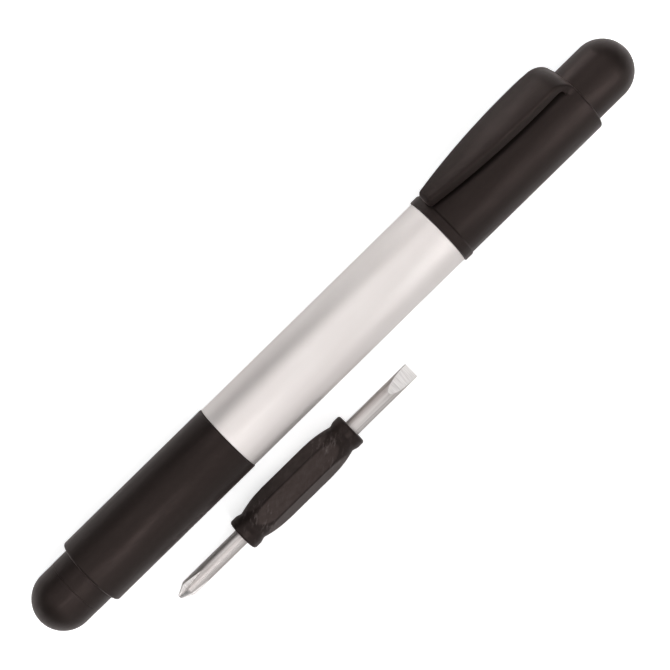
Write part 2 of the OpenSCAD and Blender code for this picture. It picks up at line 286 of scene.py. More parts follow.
def mesh_object(name, part):
    """A shaded mesh object of a solid, with its normals outward."""
    verts, faces = part
    mesh = bpy.data.meshes.new(name)
    mesh.from_pydata([Vector(v) * MM for v in verts], [], faces)
    bm = bmesh.new()
    bm.from_mesh(mesh)
    bmesh.ops.recalc_face_normals(bm, faces=bm.faces)
    bm.to_mesh(mesh)
    bm.free()
    mesh.shade_smooth()
    mesh.set_sharp_from_angle(angle=SHARP)
    obj = bpy.data.objects.new(name, mesh)
    bpy.context.scene.collection.objects.link(obj)
    return obj


def place(obj, body, node, material):
    """Dresses a piece and sets it on its body in place of its CAD node."""
    obj.data.materials.append(material)
    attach(obj, body)
    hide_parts(node)


def barrel_tube():
    """Drawn tube with lightly broken edges."""
    return turned(rounded([
        (-BARREL_X, BARREL_BORE_R, 0.1), (-BARREL_X, BARREL_R, 0.15),
        (BARREL_X, BARREL_R, 0.15), (BARREL_X, BARREL_BORE_R, 0.1),
    ]))


def socket(mirror):
    """Insert with a ringed neck, a chamfered hexagonal hole and a round hole behind it."""
    side = -1 if mirror else 1
    outer = [
        (SOCKET_END_X, 0.0, 0), (SOCKET_END_X, PLUG_R, 0.3),
        (BARREL_X, PLUG_R, 0.1), (BARREL_X, NECK_R, 0.05),
    ]
    for x in RING_X:
        outer += [
            (x - RING_W / 2, NECK_R, 0.04), (x - RING_W / 2, RING_R, 0.06),
            (x + RING_W / 2, RING_R, 0.06), (x + RING_W / 2, NECK_R, 0.04),
        ]
    outer += [(NECK_X, NECK_R, 0.2), (NECK_X, 0.0, 0)]
    hexagon = rounded_hexagon(HEX_HOLE_AF, 0.3)
    mouth_r = HEX_HOLE_AF / 2 / math.cos(math.pi / 6)
    loops = [polar_loop(side * x, r) for x, r in rounded(outer)[:-1]]
    loops += [
        polar_loop(side * NECK_X, mouth_r),
        polar_loop(side * (NECK_X - MOUTH_CHAMFER), np.minimum(hexagon, mouth_r - MOUTH_CHAMFER)),
        polar_loop(side * (NECK_X - 2 * MOUTH_CHAMFER), hexagon),
        polar_loop(side * (RECESS_X + 0.15), hexagon),
        polar_loop(side * RECESS_X, hexagon - 0.15),
        polar_loop(side * RECESS_X, BLADE_HOLE_R + 0.1),
        polar_loop(side * (RECESS_X - 0.1), BLADE_HOLE_R),
        polar_loop(side * BLADE_HOLE_X, BLADE_HOLE_R),
        polar_loop(side * BLADE_HOLE_X, 0.0),
    ]
    return solid(loops)


def front_sleeve():
    """Plain sleeve with a rounded outer end."""
    return turned(rounded([
        (MOUTH_X, SLEEVE_BORE_R, 0.1), (MOUTH_X, CAP_R, 0.14),
        (SLEEVE_X, CAP_R, SLEEVE_EDGE), (SLEEVE_X, SLEEVE_BORE_R, 0.02),
    ]), mirror=True)


def rear_sleeve():
    """Tapered sleeve with a low ring round its mouth."""
    slope = (CAP_R - REAR_MOUTH_R) / (SLEEVE_X - SLEEVE_EDGE - MOUTH_X)
    ring_end = MOUTH_X + BEAD_LEN
    return turned(rounded([
        (MOUTH_X, SLEEVE_BORE_R, 0.1), (MOUTH_X, BEAD_R, BEAD_EDGE),
        (ring_end - 0.2, BEAD_R, 0.15), (ring_end + 0.1, REAR_MOUTH_R + slope * (BEAD_LEN + 0.1), 0.2),
        (SLEEVE_X, CAP_R, SLEEVE_EDGE), (SLEEVE_X, SLEEVE_BORE_R, 0.02),
    ]))


def liner(end_x, edge, mirror):
    """Inner tube of a cap, chamfered inside its mouth."""
    return turned(rounded([
        (MOUTH_X, LINER_BORE_R + 0.3, 0.05), (MOUTH_X, LINER_R, 0.1), (end_x, LINER_R, edge),
        (end_x, LINER_BORE_R, 0.05), (MOUTH_X + 0.3, LINER_BORE_R, 0.05),
    ]), mirror=mirror)


def dome(seat_x, mirror):
    """Round end plug on a hollow spigot."""
    crown = []
    for k in range(CROWN_STEPS + 1):
        turn = math.pi / 2 * (1 - k / CROWN_STEPS)
        crown.append((DOME_CENTRE_X + DOME_R * math.sin(turn), DOME_R * math.cos(turn) if k else 0.0, 0))
    cavity_x = DOME_CENTRE_X + DOME_R - DOME_WALL - CAVITY_R
    hollow = []
    for k in range(CAVITY_STEPS):
        turn = math.pi / 2 * k / CAVITY_STEPS
        hollow.append((cavity_x + CAVITY_R * math.sin(turn), CAVITY_R * math.cos(turn), 0))
    hollow.append((cavity_x + CAVITY_R, 0.0, 0))
    return turned(rounded([
        *crown, (seat_x, DOME_R, 0.03), (seat_x, SPIGOT_R, 0.05),
        (seat_x - SPIGOT_LEN, SPIGOT_R, 0.25), (seat_x - SPIGOT_LEN, CAVITY_R, 0.1), *hollow,
    ]), closed=False, mirror=mirror)


def clip_half_width(x):
    """Half width of the clip, with curved long sides and a rounded tip."""
    def side(place_x):
        return CLIP_W / 2 - arc_drop(CLIP_SIDE_R, place_x - CLIP_WIDE_X)
    tip_x = CLIP_TIP_X + CLIP_TIP_R
    if x >= tip_x:
        return side(x)
    return side(tip_x) - arc_drop(CLIP_TIP_R, tip_x - x)


def clip_top(x, y):
    """Height of the bowed and crowned outer face, with a round shoulder at the root and a soft tip."""
    shoulder_x = SLEEVE_X - CLIP_SHOULDER_R
    radius = CLIP_CROWN_R - arc_drop(CLIP_BOW_R, min(x, shoulder_x) - CLIP_PEAK_X)
    if x > shoulder_x:
        radius -= arc_drop(CLIP_SHOULDER_R, min(x - shoulder_x, CLIP_SHOULDER_R))
    radius -= CLIP_SHOULDER_FALL * max(0.0, (x - CLIP_FALL_X) / (SLEEVE_X - CLIP_FALL_X)) ** 2
    to_tip = x - CLIP_TIP_X
    if to_tip < CLIP_TIP_SOFT:
        radius -= CLIP_TIP_FALL * arc_drop(CLIP_TIP_SOFT, CLIP_TIP_SOFT - to_tip)
    return CLIP_CROWN_Z + math.sqrt(radius * radius - y * y)


def saddle_height(x, y):
    """Height of the saddle on the sleeve, which opens a little behind the foot."""
    radius = SADDLE_R + SADDLE_RELIEF * max(0.0, (x - FOOT_X) / (SLEEVE_X - FOOT_X))
    return math.sqrt(radius * radius - y * y)


def clip_bottom(x, y, on_saddle):
    """Height of the underside: straight along the gap, round at its closed end, then the saddle."""
    if on_saddle:
        return saddle_height(x, y)
    heel_x = CLIP_WEB_X - CLIP_HEEL_R
    along = (min(x, heel_x) - CLIP_TIP_X) / (heel_x - CLIP_TIP_X)
    z = CLIP_TIP_Z + (CLIP_ROOT_Z - CLIP_TIP_Z) * along
    if x > heel_x:
        z -= arc_drop(CLIP_HEEL_R, min(x - heel_x, CLIP_HEEL_R))
    to_tip = x - CLIP_TIP_X
    if to_tip < CLIP_TIP_SOFT_BELOW:
        z += CLIP_TIP_FALL * arc_drop(CLIP_TIP_SOFT_BELOW, CLIP_TIP_SOFT_BELOW - to_tip)
    return max(z, saddle_height(x, y))


def bend(a, corner, b, steps):
    """Points of a curve from a to b that a corner pulls out, without its ends."""
    points = []
    for k in range(1, steps):
        t = k / steps
        points.append(tuple(
            (1 - t) ** 2 * a[i] + 2 * t * (1 - t) * corner[i] + t * t * b[i] for i in range(2)
        ))
    return points


def clip_loop(x, on_saddle):
    """Outline of the clip across the pen at one place, as points round it."""
    half = clip_half_width(x)
    thick = clip_top(x, half) - clip_bottom(x, half, on_saddle)
    upper = min(CLIP_RIM, 0.48 * thick, 0.6 * half)
    lower = min(CLIP_LOW_RIM, 0.3 * thick, 0.3 * half)

    def under(y):
        return (y, clip_bottom(x, y, on_saddle))

    def over(y):
        return (y, clip_top(x, y))

    low_side = (half, under(half)[1] + lower)
    foot_half = half - lower
    if on_saddle:
        behind_web = x - CLIP_WEB_X
        flare = CLIP_FLARE * math.sin(math.pi / 2 * min(1.0, behind_web / CLIP_FLARE_LEN))
        foot_half += (lower + flare) * min(1.0, behind_web / CLIP_LOW_RIM)
        low_side = (half, under(half)[1] + max(lower, min(CLIP_FLARE_RISE, 0.5 * thick)))
    high_side = (half, over(half)[1] - upper)
    right = [under(t * foot_half) for t in np.linspace(0, 1, 7)]
    right += bend(right[-1], under(half), low_side, 5)
    right += [tuple(np.add(low_side, np.subtract(high_side, low_side) * t)) for t in np.linspace(0, 1, 4)]
    right += bend(high_side, over(half), over(half - upper), 8)
    right += [over((1 - t) * (half - upper)) for t in np.linspace(0, 1, 11)]
    left = [(-y, z) for y, z in right[-2:0:-1]]
    return [(x, y, z) for y, z in right + left]


def clip_foot(gap, top_z):
    """Round foot of the clip with its neck, grown by a clearance."""
    half = FOOT_W / 2 + gap
    loops = []
    for y in (-half, half):
        ring = []
        for turn in np.linspace(0, 2 * math.pi, 32, endpoint=False):
            r = FOOT_R + gap
            ring.append((FOOT_X + r * math.cos(turn), y, FOOT_Z + r * math.sin(turn)))
        loops.append(ring)
    foot = solid([[(FOOT_X, -half, FOOT_Z)], *loops, [(FOOT_X, half, FOOT_Z)]])
    neck_half = FOOT_NECK / 2 + gap
    rings = [
        [(FOOT_X + sx * neck_half, sy * half, z) for sx, sy in ((-1, -1), (1, -1), (1, 1), (-1, 1))]
        for z in (FOOT_Z, top_z)
    ]
    neck = solid([[(FOOT_X, 0, FOOT_Z)], *rings, [(FOOT_X, 0, top_z)]])
    return foot, neck


def at_clip(part):
    """Turns a solid that is drawn above the pen to the clip's direction."""
    turn = Matrix.Rotation(math.radians(-CLIP_ANGLE), 3, "X")
    verts, faces = part
    return [tuple(turn @ Vector(v)) for v in verts], faces


def pocket_clip():
    """Moulded clip: soft tip, bowed arm, round shoulder, saddle and snap-in foot."""
    tip = [CLIP_TIP_X + CLIP_TIP_R * (1 - math.cos(t)) for t in np.linspace(0.12, math.pi / 2, 10)]
    arm = list(np.linspace(tip[-1], SLEEVE_X - CLIP_SHOULDER_R, 44))[1:]
    heel = [CLIP_WEB_X - CLIP_HEEL_R * (1 - math.sin(t)) for t in np.linspace(0, math.pi / 2, 13)]
    shoulder_x = SLEEVE_X - CLIP_SHOULDER_R
    to_heel = list(np.linspace(shoulder_x, heel[0], 5))[1:-1]
    end_turn = math.asin((SLEEVE_X - CLIP_BACK_GAP - shoulder_x) / CLIP_SHOULDER_R)
    web_turn = math.asin((CLIP_WEB_X - shoulder_x) / CLIP_SHOULDER_R)
    root = [shoulder_x + CLIP_SHOULDER_R * math.sin(t) for t in np.linspace(web_turn, end_turn, 16)]
    loops = [clip_loop(x, False) for x in tip + arm + to_heel + heel]
    loops += [clip_loop(x, True) for x in root]
    for end, at in ((loops[0], 0), (loops[-1], len(loops) + 1)):
        middle = tuple(np.mean([end[0], end[len(end) // 2]], axis=0))
        loops.insert(at, [middle])
    return at_clip(joined(solid(loops), *clip_foot(0, CLIP_ROOT_Z)))


def cut_foot_slot(sleeve):
    """Cuts the slot for the clip's foot into the rear sleeve."""
    for part in clip_foot(FOOT_GAP, CAP_R + 1):
        cutter = mesh_object("slot_cutter", at_clip(part))
        cut = sleeve.modifiers.new("slot", "BOOLEAN")
        cut.operation = "DIFFERENCE"
        cut.solver = "EXACT"
        cut.object = cutter
        evaluated = sleeve.evaluated_get(bpy.context.evaluated_depsgraph_get())
        mesh = bpy.data.meshes.new_from_object(evaluated)
        sleeve.modifiers.clear()
        sleeve.data = mesh
        bpy.data.objects.remove(cutter)
    sleeve.data.shade_smooth()
    sleeve.data.set_sharp_from_angle(angle=SHARP)


def grip_stations():
    """Half of the grip from its middle outward, as (x, turned limit, whether the hexagon shows)."""
    corner_r = GRIP_AF / 2 / math.cos(math.pi / 6)
    drop = corner_r - GRIP_NECK_R
    taper_r = (GRIP_TAPER_LEN ** 2 + drop ** 2) / (2 * drop)
    stations = [(x, corner_r + GRIP_SPARE, True) for x in np.linspace(0, GRIP_TAPER_X - 0.8, 8)]
    for t in np.linspace(0, 1, 34):
        along = GRIP_TAPER_LEN * t
        fade = GRIP_SPARE * max(0.0, 1 - along / GRIP_FADE_LEN)
        stations.append((GRIP_TAPER_X + along, corner_r + fade - arc_drop(taper_r, along), True))
    collar_x = GRIP_HALF - COLLAR_LEN + COLLAR_EDGE
    core_r = COLLAR_R - COLLAR_EDGE
    neck_x = GRIP_TAPER_X + GRIP_TAPER_LEN
    for t in np.linspace(0, 1, 12)[1:]:
        swell = (COLLAR_R - GRIP_NECK_R) * (1 - math.cos(math.pi * t)) / 2
        stations.append((neck_x + (collar_x - neck_x) * t, GRIP_NECK_R + swell, False))
    outer_x = GRIP_HALF - COLLAR_EDGE
    for t in np.linspace(math.pi / 2, 0, 9):
        stations.append((outer_x + COLLAR_EDGE * math.cos(t), core_r + COLLAR_EDGE * math.sin(t), False))
    stations += [(GRIP_HALF, BLADE_BORE_R + 0.08, False), (GRIP_HALF - 0.08, BLADE_BORE_R, False)]
    return stations


def grip():
    """Hexagonal grip with turned ends and collars, and the hole for the rod."""
    hexagon = rounded_hexagon(GRIP_AF, GRIP_EDGE)
    half = grip_stations()
    both = [(-x, limit, hexed) for x, limit, hexed in reversed(half[1:])] + half
    return solid([
        polar_loop(x, soft_min(hexagon, limit, GRIP_BLEND) if hexed else limit) for x, limit, hexed in both
    ], closed=True)


QUARTER = 24


def even_quarter():
    """Angles of a round section's quarter."""
    return [math.pi / 2 * i / QUARTER for i in range(QUARTER)]


def flute_quarter(root, radius, slope):
    """Points (angle, radius) from one flute of the cross blade to the next."""
    a, b, c = 1 + slope ** 2, 2 * root * slope, root ** 2 - radius ** 2
    out = (-b + math.sqrt(b * b - 4 * a * c)) / (2 * a)
    corner = math.atan2(out, root + slope * out)
    wall = QUARTER // 3
    points = []
    for i in range(wall):
        t = out * i / wall
        points.append((math.atan2(t, root + slope * t), math.hypot(t, root + slope * t)))
    for i in range(wall + 1):
        points.append((corner + (math.pi / 2 - 2 * corner) * i / wall, radius))
    points += [(math.pi / 2 - angle, r) for angle, r in reversed(points[1:wall])]
    return points


def flat_quarters(half):
    """Points (angle, radius) of the flat blade's section over half a turn, from the middle of one face."""
    corner = math.acos(half / BLADE_R)
    wall = QUARTER // 2
    points = []
    for i in range(wall):
        t = BLADE_R * math.sin(corner) * i / wall
        points.append((math.atan2(t, half), math.hypot(t, half)))
    for i in range(wall + 1):
        points.append((corner + (math.pi / 2 - corner) * i / wall, BLADE_R))
    return points + [(math.pi - angle, r) for angle, r in reversed(points[1:-1])]


def section(x, points, repeat, roll):
    """A loop of points round the rod from (angle, radius) points that repeat round it."""
    loop = []
    for k in range(repeat):
        for angle, r in points:
            turn = angle + 2 * math.pi * k / repeat + math.radians(roll)
            loop.append((x, r * math.sin(turn), r * math.cos(turn)))
    return loop


def cross_end():
    """Sections of the cross blade, from its tip to where the flutes have run out."""
    rise = (BLADE_R - FLUTE_ROOT) / FLUTE_LEN
    slope = math.sqrt(1 + rise * rise)
    cone_len = (BLADE_R - CROSS_TIP_R) / math.tan(math.radians(CROSS_ANGLE))
    distances = list(np.linspace(0, cone_len, 8))
    distances += list(np.linspace(cone_len, FLUTE_LEN * FLUTE_LAST, 22))[1:]
    loops = [[(CROSS_TIP_X, 0.0, 0.0)]]
    for d in distances:
        radius = min(BLADE_R, CROSS_TIP_R + d * math.tan(math.radians(CROSS_ANGLE)))
        points = flute_quarter(min(FLUTE_ROOT + rise * d, radius * FLUTE_FULL), radius, slope)
        loops.append(section(CROSS_TIP_X + d, points, 4, CROSS_ROLL))
    return loops


def flat_end():
    """Sections of the flat blade, from where the grind starts to its tip."""
    depth = BLADE_R - FLAT_TIP_HALF
    chord = math.hypot(FLAT_GRIND_LEN, depth)
    far = math.sqrt(FLAT_GRIND_R ** 2 - chord ** 2 / 4)
    centre_x = FLAT_TIP_X - FLAT_GRIND_LEN / 2 + far * depth / chord
    centre_z = (BLADE_R + FLAT_TIP_HALF) / 2 + far * FLAT_GRIND_LEN / chord
    loops = []
    for t in np.linspace(0, 1, 28):
        x = FLAT_TIP_X - FLAT_GRIND_LEN * (1 - t ** 1.6)
        half = centre_z - math.sqrt(FLAT_GRIND_R ** 2 - (x - centre_x) ** 2)
        loops.append(section(x, flat_quarters(min(half, BLADE_R * FLAT_FULL)), 2, FLAT_ROLL))
    loops.append([(FLAT_TIP_X, 0.0, 0.0)])
    return loops


def rod():
    """Round sections of the rod, which turn from one blade's points to the other's."""
    loops = []
    for x in np.linspace(CROSS_TIP_X + FLUTE_LEN * ROD_FIRST, FLAT_TIP_X - FLAT_GRIND_LEN - 0.3, 16):
        t = min(max((x + GRIP_HALF) / (2 * GRIP_HALF), 0.0), 1.0)
        roll = CROSS_ROLL + (FLAT_ROLL - CROSS_ROLL) * t
        loops.append(section(x, [(angle, BLADE_R) for angle in even_quarter()], 4, roll))
    return loops


def blade():
    """Steel rod with a cross blade and a ground flat blade."""
    return solid(cross_end() + rod() + flat_end())


def break_edges(obj, width):
    """Rounds the sharp edges of a ground piece a little."""
    bevel = obj.modifiers.new("broken_edges", "BEVEL")
    bevel.width = width * MM
    bevel.segments = 2
    bevel.limit_method = "ANGLE"
    bevel.angle_limit = SHARP
    bevel.harden_normals = False


# Looks
RANGE_SOCKETS = ("From Min", "From Max", "To Min", "To Max")
WARM_GLOSS = (1.0, 0.76, 0.71, 1.0)
WARM_SHEEN = (1.0, 0.72, 0.66, 1.0)


class Surface:
    """A principled material and short ways to add to its nodes."""

    def __init__(self, name, **sockets):
        self.material = bpy.data.materials.new(name)
        self.material.use_nodes = True
        self.tree = self.material.node_tree
        self.shader = self.tree.nodes["Principled BSDF"]
        for socket_name, value in sockets.items():
            self.shader.inputs[socket_name.replace("_", " ")].default_value = value
        self.coords = self.tree.nodes.new("ShaderNodeTexCoord")

    def link(self, source, target):
        self.tree.links.new(source, target)

    def noise(self, scale, detail=4.0, roughness=0.55, slant=0.0):
        """Noise with so many features a millimetre along X, Y and Z, slanted by degrees about Z."""
        turned_coords = self.tree.nodes.new("ShaderNodeVectorRotate")
        turned_coords.rotation_type = "Z_AXIS"
        turned_coords.inputs["Angle"].default_value = math.radians(slant)
        mapping = self.tree.nodes.new("ShaderNodeMapping")
        mapping.inputs["Scale"].default_value = [s / MM for s in scale]
        texture = self.tree.nodes.new("ShaderNodeTexNoise")
        texture.inputs["Scale"].default_value = 1.0
        texture.inputs["Detail"].default_value = detail
        texture.inputs["Roughness"].default_value = roughness
        self.link(self.coords.outputs["Object"], turned_coords.inputs["Vector"])
        self.link(turned_coords.outputs["Vector"], mapping.inputs["Vector"])
        self.link(mapping.outputs["Vector"], texture.inputs["Vector"])
        return texture.outputs["Fac"]

    def ramp(self, source, stops):
        """Colours at places along a value."""
        node = self.tree.nodes.new("ShaderNodeValToRGB")
        elements = node.color_ramp.elements
        while len(elements) < len(stops):
            elements.new(0.5)
        for element, (position, colour) in zip(elements, stops):
            element.position = position
            element.color = (*colour, 1.0)
        self.link(source, node.inputs["Fac"])
        return node.outputs["Color"]

    def levels(self, source, low, high, to_low, to_high):
        """A value mapped from one range to another."""
        node = self.tree.nodes.new("ShaderNodeMapRange")
        for socket_name, value in zip(RANGE_SOCKETS, (low, high, to_low, to_high)):
            node.inputs[socket_name].default_value = value
        self.link(source, node.inputs["Value"])
        return node.outputs["Result"]

    def attribute(self, name):
        """A value that the mesh carries."""
        node = self.tree.nodes.new("ShaderNodeAttribute")
        node.attribute_name = name
        return node.outputs["Fac"]

    def times(self, a, b):
        """The product of two values."""
        node = self.tree.nodes.new("ShaderNodeMath")
        node.operation = "MULTIPLY"
        self.link(a, node.inputs[0])
        self.link(b, node.inputs[1])
        return node.outputs["Value"]

    def mixed(self, factor, a, b):
        """One colour over another by a factor."""
        node = self.tree.nodes.new("ShaderNodeMix")
        node.data_type = "RGBA"
        self.link(factor, node.inputs["Factor"])
        self.link(a, node.inputs["A"])
        self.link(b, node.inputs["B"])
        return node.outputs["Result"]

    def bumped(self, height, strength, depth, under=None):
        """A normal from a height in millimetres, over an earlier one."""
        node = self.tree.nodes.new("ShaderNodeBump")
        node.inputs["Strength"].default_value = strength
        node.inputs["Distance"].default_value = depth * MM
        self.link(height, node.inputs["Height"])
        if under is not None:
            self.link(under, node.inputs["Normal"])
        return node.outputs["Normal"]

    def wear(self, colour=None, roughness=None, normal=None):
        """Links what varies over the surface to the shader."""
        for socket_name, source in (("Base Color", colour), ("Roughness", roughness), ("Normal", normal)):
            if source is not None:
                self.link(source, self.shader.inputs[socket_name])
        return self.material


def moulded_plastic(name, dark, pale, rough, scuffs):
    """Black plastic from a spark-eroded mould, with a warm gloss, flow marks and light scuffs."""
    s = Surface(name, Specular_IOR_Level=0.31, Specular_Tint=WARM_GLOSS,
                Sheen_Weight=0.09, Sheen_Roughness=0.5, Sheen_Tint=WARM_SHEEN)
    flow = s.noise((0.03, 0.16, 0.16), detail=3)
    grain = s.noise((5.0, 5.0, 5.0), detail=2)
    scuff = s.noise((0.35, 1.6, 1.6), detail=6, roughness=0.7)
    mottle = s.noise((0.8, 1.1, 1.1), detail=5, roughness=0.65)
    plain = s.ramp(flow, [(0.3, dark), (0.72, pale)])
    dusty = s.ramp(grain, [(0.3, pale), (0.7, [1.7 * c for c in pale])])
    tone = s.mixed(s.levels(mottle, 0.35, 0.7, 0.0, 0.55), plain, dusty)
    worn = s.ramp(grain, [(0.35, pale), (0.75, [2.1 * c for c in pale])])
    mask = s.levels(scuff, 0.62, 0.78, 0.0, scuffs)
    colour = s.mixed(mask, tone, worn)
    roughness = s.levels(s.noise((0.12, 0.6, 0.6), detail=5), 0.3, 0.7, rough - 0.07, rough + 0.08)
    normal = s.bumped(grain, 0.45, 0.02)
    normal = s.bumped(mottle, 0.42, 0.05, normal)
    return s.wear(colour, roughness, normal)


def handled_plastic():
    """Black plastic of the grips: mottled by use, with slanted pale scrapes where the faces run out, and
    painted shade in lines along the hexagon's edges.
    """
    s = Surface("grip_moulding", Specular_IOR_Level=0.27, Specular_Tint=WARM_GLOSS,
                Sheen_Weight=0.09, Sheen_Roughness=0.5, Sheen_Tint=WARM_SHEEN)
    grain = s.noise((4.0, 4.0, 4.0), detail=3)
    mottle = s.noise((0.5, 0.9, 0.9), detail=6, roughness=0.68)
    scrape = s.noise((0.45, 1.7, 0.8), detail=5, roughness=0.6, slant=-38)
    dark, middle, pale = (0.0190, 0.0143, 0.0131), (0.0305, 0.0235, 0.0218), (0.0440, 0.0351, 0.0330)
    # Dark tone of the turned ends. It is also laid along the hexagon's edges below as painted shade.
    ends = s.ramp(mottle, [(0.35, (0.0036, 0.0026, 0.0023)), (0.7, (0.0105, 0.0082, 0.0076))])
    faces = s.ramp(mottle, [(0.3, dark), (0.5, middle), (0.72, pale)])
    # Painted shade: the dark end colour is laid in a line along each edge of the hexagon, standing in for
    # the dark reflection on the rounded edges.
    faces = s.mixed(s.levels(s.attribute("edge"), 0.2, 0.75, 0.0, 0.9), faces, ends)
    tone = s.mixed(s.levels(s.attribute("turned"), 0.15, 0.7, 0.0, 1.0), faces, ends)
    scraped = s.ramp(grain, [(0.3, (0.055, 0.045, 0.043)), (0.7, (0.105, 0.090, 0.086))])
    near_ends = s.levels(s.attribute("outward"), 0.36, 0.50, 0.15, 1.0)
    off_collars = s.levels(s.attribute("outward"), 0.70, 0.84, 1.0, 0.2)
    mask = s.times(s.times(s.levels(scrape, 0.54, 0.68, 0.0, 1.0), near_ends), off_collars)
    colour = s.mixed(mask, tone, scraped)
    roughness = s.levels(mottle, 0.3, 0.7, 0.40, 0.54)
    normal = s.bumped(grain, 0.35, 0.025)
    normal = s.bumped(mottle, 0.35, 0.06, normal)
    return s.wear(colour, roughness, normal)


def mark_grip(obj, offset):
    """Marks a grip's points: how far out along it, how far below the hexagon, and how near to its edges,
    which sets the painted shade along them.
    """
    outward, turned_off, edges = [], [], []
    for vertex in obj.data.vertices:
        x, y, z = vertex.co / MM - Vector(offset)
        off = (math.atan2(y, z) + math.pi / 6) % (math.pi / 3) - math.pi / 6
        below = GRIP_AF / 2 / math.cos(off) - math.hypot(y, z)
        outward.append(abs(x) / GRIP_HALF)
        turned_off.append(min(max(below / GRIP_TURNED_DEPTH, 0.0), 1.0))
        # Painted shade: strongest on the hexagon's edges, fading out over a set width from them.
        from_edge = math.hypot(y, z) * (math.pi / 6 - abs(off))
        edges.append(max(0.0, 1 - from_edge / GRIP_EDGE_SHADE_WIDTH))
    for name, values in (("outward", outward), ("turned", turned_off), ("edge", edges)):
        layer = obj.data.attributes.new(name, "FLOAT", "POINT")
        layer.data.foreach_set("value", values)


def anodised_aluminium():
    """Satin anodised tube: fine drawn lines along it, a blasted grain and faint clouds."""
    s = Surface("satin_aluminium", Metallic=1.0)
    lines = s.noise((0.05, 9.0, 9.0), detail=3)
    grain = s.noise((11.0, 11.0, 11.0), detail=2)
    cloud = s.noise((0.05, 0.12, 0.12), detail=3)
    colour = s.ramp(cloud, [(0.3, (0.83, 0.777, 0.757)), (0.7, (0.875, 0.828, 0.809))])
    roughness = s.levels(lines, 0.25, 0.75, 0.50, 0.60)
    normal = s.bumped(lines, 0.10, 0.01)
    normal = s.bumped(grain, 0.16, 0.008, normal)
    return s.wear(colour, roughness, normal)


def drawn_steel():
    """Plated steel with lines and streaks along the rod, paler and smoother where it is ground."""
    s = Surface("drawn_steel", Metallic=1.0)
    lines = s.noise((0.12, 6.0, 6.0), detail=4)
    cloud = s.noise((0.5, 0.9, 0.9), detail=5, roughness=0.6)
    strokes = s.noise((5.0, 0.3, 0.3), detail=3)
    ground = s.levels(s.attribute("ground"), 0.3, 0.7, 0.0, 1.0)
    streaks = s.noise((0.03, 1.6, 1.6), detail=3)
    drawn = s.ramp(streaks, [(0.36, (0.44, 0.403, 0.39)), (0.6, (0.63, 0.592, 0.576))])
    fresh = s.ramp(strokes, [(0.35, (0.66, 0.628, 0.615)), (0.65, (0.85, 0.822, 0.806))])
    colour = s.mixed(ground, drawn, fresh)
    roughness = s.levels(ground, 0.0, 1.0, 0.50, 0.42)
    normal = s.bumped(lines, 0.22, 0.015)
    normal = s.bumped(cloud, 0.15, 0.02, normal)
    return s.wear(colour, roughness, normal)


def mark_blade(obj, offset):
    """Lets a blade's mesh carry where it is ground below the round rod."""
    depths = []
    for vertex in obj.data.vertices:
        x, y, z = vertex.co / MM - Vector(offset)
        on_end = x > FLAT_TIP_X - FLAT_GRIND_LEN or x < CROSS_TIP_X + FLUTE_LEN
        depths.append(min((BLADE_R - math.hypot(y, z)) / GROUND_DEPTH, 1.0) if on_end else 0.0)
    layer = obj.data.attributes.new("ground", "FLOAT", "POINT")
    layer.data.foreach_set("value", depths)


def build():
    """Makes every piece of the object on its body."""
    caps = moulded_plastic("cap_moulding", (0.0030, 0.0021, 0.0018), (0.0046, 0.0033, 0.0029), 0.46, 0.35)
    grips = handled_plastic()
    inner = moulded_plastic("socket_moulding", (0.0036, 0.0033, 0.0032), (0.0058, 0.0054, 0.0053), 0.33, 0.3)
    aluminium = anodised_aluminium()
    steel = drawn_steel()

    front_liner = liner(FRONT_LINER_X, 0.03, True)
    rear_liner = liner(SLEEVE_X, 0.05, False)
    pieces = (
        ("barrel", barrel_tube(), "barrel", "barrel_tube", "tube_aluminium", aluminium),
        ("front_socket_insert", socket(True), "barrel", "front_socket", "socket_plastic", inner),
        ("rear_socket_insert", socket(False), "barrel", "rear_socket", "socket_plastic", inner),
        ("front_sleeve", front_sleeve(), "front_cap", "front_cap_sleeve", "cap_plastic", caps),
        ("front_liner", front_liner, "front_cap", "front_cap_liner", "cap_plastic", caps),
        ("front_dome", dome(FRONT_DOME_X, True), "front_cap", "front_cap_dome", "cap_plastic", caps),
        ("rear_sleeve", rear_sleeve(), "rear_cap", "rear_cap_sleeve", "cap_plastic", caps),
        ("rear_liner", rear_liner, "rear_cap", "rear_cap_liner", "cap_plastic", caps),
        ("rear_dome", dome(REAR_DOME_X, False), "rear_cap", "rear_cap_dome", "cap_plastic", caps),
        ("clip", pocket_clip(), "pocket_clip", "pocket_clip", "cap_plastic", caps),
    )
    for name, part, body, node, slot, material in pieces:
        piece = mesh_object(name, part)
        if name == "rear_sleeve":
            cut_foot_slot(piece)
        place(piece, body, node, material)

    for body, offset in (("stored_bit", STORED_BIT), ("loose_bit", LOOSE_BIT)):
        handle = mesh_object(body + "_handle", moved(grip(), offset))
        mark_grip(handle, offset)
        place(handle, body, body + "_grip", grips)
        rod_piece = mesh_object(body + "_rod", moved(blade(), offset))
        mark_blade(rod_piece, offset)
        break_edges(rod_piece, EDGE_BREAK)
        place(rod_piece, body, body + "_blade", steel)


